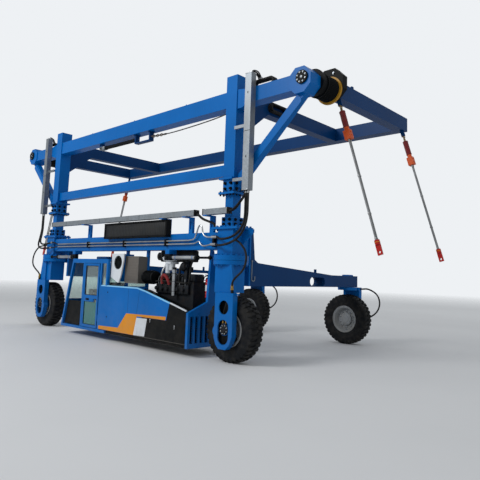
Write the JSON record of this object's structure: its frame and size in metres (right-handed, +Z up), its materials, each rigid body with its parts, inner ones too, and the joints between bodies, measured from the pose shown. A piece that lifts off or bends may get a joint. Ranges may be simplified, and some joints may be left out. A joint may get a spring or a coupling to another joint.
{
  "type": "straddle carrier",
  "caption": "Side-frame straddle carrier: cab and engine under a beam, steered wheels, low outriggers and a lifting frame with slings.",
  "frame": {"origin": "on the ground, under the centre of the whole machine's box", "axes": "+X along the machine to its engine end, +Y across to the outriggers' far wheels, +Z up"},
  "size_m": [12.0862, 4.96, 5.4],
  "materials": {
    "blue_paint": "gloss",
    "deep_blue_paint": "gloss",
    "black_paint": "satin",
    "white_paint": "gloss",
    "red_paint": "gloss",
    "tyre_rubber": "matte",
    "rim_steel": "satin",
    "trough_aluminium": "brushed",
    "pipe_steel": "brushed",
    "engine_iron": "matte",
    "chain_steel": "matte",
    "sleeve_fabric": "matte",
    "glass": "gloss",
    "seat_vinyl": "matte",
    "orange_paint": "gloss",
    "rope_brass": "satin",
    "hose_rubber": "satin"
  },
  "bodies": {
    "base": {"lower_beam": "blue_paint", "legs": "blue_paint", "inner_posts": "blue_paint", "outriggers": "deep_blue_paint", "chassis_tub": "black_paint", "end_bulkhead": "blue_paint", "side_panel": "blue_paint", "lower_side_panel": "black_paint", "engine_block": "engine_iron", "engine_fittings": "engine_iron", "alternator": "black_paint", "exhaust_pipe": "pipe_steel", "oil_cooler": "rim_steel", "fan_panel": "white_paint", "extinguisher": "red_paint", "cab_frame": "blue_paint", "cab_glass": "glass", "cab_roof": "blue_paint", "cab_fittings": "seat_vinyl", "cooler": "black_paint", "lower_trough": "trough_aluminium", "beam_pipes": "pipe_steel", "base_hoses": "hose_rubber", "steer_cylinders": "pipe_steel"},
    "lifting_frame": {"columns": "blue_paint", "top_beam": "blue_paint", "mid_beam": "blue_paint", "lifting_arms": "blue_paint", "cross_beams": "deep_blue_paint", "far_frame": "deep_blue_paint", "hoist_drums": "black_paint", "sheave_rims": "rope_brass", "sheave_guards": "black_paint", "sling_shackles": "chain_steel", "sling_sleeves": "sleeve_fabric", "sling_collars": "orange_paint", "sling_rods": "rim_steel", "sling_lugs": "red_paint", "cable_troughs": "trough_aluminium", "hoist_cylinder": "black_paint", "hose_carriers": "hose_rubber"},
    "cab_door": {"cab_door": "blue_paint", "door_glass": "glass"},
    "steer_near_front": {"fork_near_front": "blue_paint", "hose_near_front": "hose_rubber"},
    "wheel_near_front": {"tyre_near_front": "tyre_rubber", "rim_near_front": "rim_steel"},
    "steer_near_rear": {"fork_near_rear": "blue_paint", "hose_near_rear": "hose_rubber"},
    "wheel_near_rear": {"tyre_near_rear": "tyre_rubber", "rim_near_rear": "rim_steel"},
    "steer_far_front": {"fork_far_front": "blue_paint", "hose_far_front": "hose_rubber"},
    "wheel_far_front": {"tyre_far_front": "tyre_rubber", "rim_far_front": "rim_steel"},
    "steer_far_rear": {"fork_far_rear": "blue_paint", "hose_far_rear": "hose_rubber"},
    "wheel_far_rear": {"tyre_far_rear": "tyre_rubber", "rim_far_rear": "rim_steel"}
  },
  "joints": [
    {"name": "lift", "type": "slide", "parent": "base", "child": "lifting_frame", "axis": [0, 0, 1], "range_m": [-0.4, 1.2]},
    {"name": "steer_near_front", "type": "hinge", "parent": "base", "child": "steer_near_front", "pos_m": [3.41, -2.05, 1.5], "axis": [0, 0, 1], "range_deg": [-40, 40]},
    {"name": "steer_near_rear", "type": "hinge", "parent": "base", "child": "steer_near_rear", "pos_m": [-3.41, -2.05, 1.5], "axis": [0, 0, 1], "range_deg": [-40, 40]},
    {"name": "steer_far_front", "type": "hinge", "parent": "base", "child": "steer_far_front", "pos_m": [3.35, 2.185, 1.5], "axis": [0, 0, 1], "range_deg": [-40, 40]},
    {"name": "steer_far_rear", "type": "hinge", "parent": "base", "child": "steer_far_rear", "pos_m": [0.2, 2.185, 1.5], "axis": [0, 0, 1], "range_deg": [-40, 40]},
    {"name": "roll_near_front", "type": "hinge", "parent": "steer_near_front", "child": "wheel_near_front", "pos_m": [3.55, -2.05, 0.595], "axis": [0, 1, 0], "continuous": true},
    {"name": "roll_near_rear", "type": "hinge", "parent": "steer_near_rear", "child": "wheel_near_rear", "pos_m": [-3.55, -2.05, 0.595], "axis": [0, 1, 0], "continuous": true},
    {"name": "roll_far_front", "type": "hinge", "parent": "steer_far_front", "child": "wheel_far_front", "pos_m": [3.35, 2.185, 0.595], "axis": [0, 1, 0], "continuous": true},
    {"name": "roll_far_rear", "type": "hinge", "parent": "steer_far_rear", "child": "wheel_far_rear", "pos_m": [0.2, 2.185, 0.595], "axis": [0, 1, 0], "continuous": true},
    {"name": "cab_door_hinge", "type": "hinge", "parent": "base", "child": "cab_door", "pos_m": [-0.39, -2.465, 0.9], "axis": [0, 0, 1], "range_deg": [0, 85]}
  ]
}
